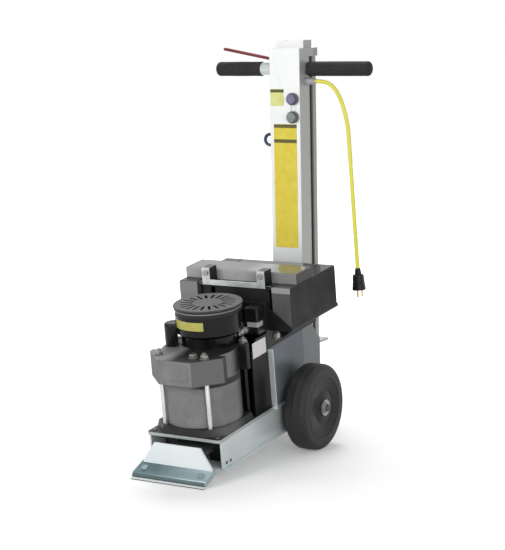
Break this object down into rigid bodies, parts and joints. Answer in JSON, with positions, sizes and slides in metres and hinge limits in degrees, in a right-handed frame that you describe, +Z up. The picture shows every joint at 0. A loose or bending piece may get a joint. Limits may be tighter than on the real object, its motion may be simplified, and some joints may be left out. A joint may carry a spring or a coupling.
{
  "type": "floor stripping machine",
  "caption": "Walk-behind floor stripper: stroking blade at the front of a sloping chassis, upright motor, ballast, wheels, and a post with grips.",
  "frame": {"origin": "on the floor at the centre of the machine's footprint box, cord left out", "axes": "+Z up along the post, -Y towards the blade, +X to the side that carries the cord gland"},
  "size_m": [0.444, 0.7346, 1.0065],
  "materials": {
    "zinc": "bright zinc plate",
    "black_paint": "satin black paint",
    "grey_casting": "painted casting",
    "ballast_iron": "dark painted bar",
    "slab_iron": "worn grey bar",
    "bright_steel": "plain steel",
    "inner_steel": "machined steel",
    "tyre": "moulded rubber",
    "rim": "moulded",
    "foam": "closed-cell foam",
    "nylon": "black slide nylon",
    "bezel_grey": "moulded",
    "post_steel": "bright zinc plate",
    "red_lever": "red dip coat",
    "dark_plastic": "moulded",
    "violet_button": "moulded",
    "grey_button": "moulded",
    "yellow_plate": "plain unlettered film",
    "blue_loop": "dark dip coat",
    "yellow_cord": "cord sheath",
    "black_rubber": "moulded",
    "brass": "plain"
  },
  "bodies": {
    "frame": {"chassis_channel": "zinc", "deck_plate": "black_paint", "side_plate_left": "zinc", "side_plate_right": "zinc", "front_bulkhead": "black_paint", "rear_bulkhead": "zinc", "side_guards": "black_paint", "frame_bolts": "bright_steel", "ballast_frame": "black_paint", "top_plate": "black_paint", "ballast_bar_left": "ballast_iron", "ballast_bar_right": "ballast_iron", "ballast_slab": "slab_iron", "hold_down_straps": "zinc", "hold_down_bolts": "bright_steel", "axle": "bright_steel", "axle_collars": "bright_steel", "gear_housing": "grey_casting", "gear_head": "grey_casting", "tie_rods": "bright_steel", "motor_body": "black_paint", "stator": "inner_steel", "fan_cover": "grey_casting", "capacitor_cover": "black_paint", "control_box": "black_paint", "blank_plates": "yellow_plate", "motor_conduit": "bright_steel", "motor_bearings": "inner_steel", "arm_guides": "nylon", "post_core": "zinc", "post_front_channel": "post_steel", "post_rear_channel": "post_steel", "post_bracket": "zinc", "top_band": "zinc", "step_plate": "zinc", "handlebar_tube": "bright_steel", "grip_left": "foam", "grip_right": "foam", "lever_bracket": "zinc", "button_bezels": "bezel_grey", "cord_loop": "blue_loop", "cord_gland": "bezel_grey", "power_cord": "yellow_cord", "plug_body": "black_rubber", "plug_prongs": "brass"},
    "cutter_head": {"blade_carrier": "zinc", "blade": "bright_steel", "blade_bolts": "bright_steel", "head_neck": "zinc", "drive_arm": "inner_steel"},
    "rotor_group": {"rotor": "inner_steel", "cooling_fan": "dark_plastic", "drive_bearing": "inner_steel"},
    "wheel_left": {"tyre_left": "tyre", "rim_left": "rim"},
    "wheel_right": {"tyre_right": "tyre", "rim_right": "rim"},
    "lever": {"dead_man_lever": "red_lever"},
    "start": {"start_button": "violet_button"},
    "stop": {"stop_button": "grey_button"}
  },
  "joints": [
    {"name": "wheel_left_spin", "type": "hinge", "parent": "frame", "child": "wheel_left", "pos_m": [-0.154, 0.079, 0.1075], "axis": [1, 0, 0], "continuous": true},
    {"name": "wheel_right_spin", "type": "hinge", "parent": "frame", "child": "wheel_right", "pos_m": [0.154, 0.079, 0.1075], "axis": [1, 0, 0], "continuous": true},
    {"name": "motor_spin", "type": "hinge", "parent": "frame", "child": "rotor_group", "pos_m": [0, -0.14631, 0.19909], "axis": [0, -0.1115, 0.9938], "continuous": true},
    {"name": "head_stroke", "type": "slide", "parent": "frame", "child": "cutter_head", "axis": [0, 0.9938, 0.1115], "range_m": [-0.003, 0.003]},
    {"name": "lever_squeeze", "type": "hinge", "parent": "frame", "child": "lever", "pos_m": [-0.058, 0.264, 0.959], "axis": [0, -1, 0], "range_deg": [0, 10], "stiffness_Nm_per_rad": 2, "springref_deg": -8.59},
    {"name": "start_press", "type": "slide", "parent": "frame", "child": "start", "axis": [0, 1, 0], "range_m": [0, 0.004], "stiffness_N_per_m": 600, "springref_m": -0.002},
    {"name": "stop_press", "type": "slide", "parent": "frame", "child": "stop", "axis": [0, 1, 0], "range_m": [0, 0.004], "stiffness_N_per_m": 600, "springref_m": -0.002}
  ]
}
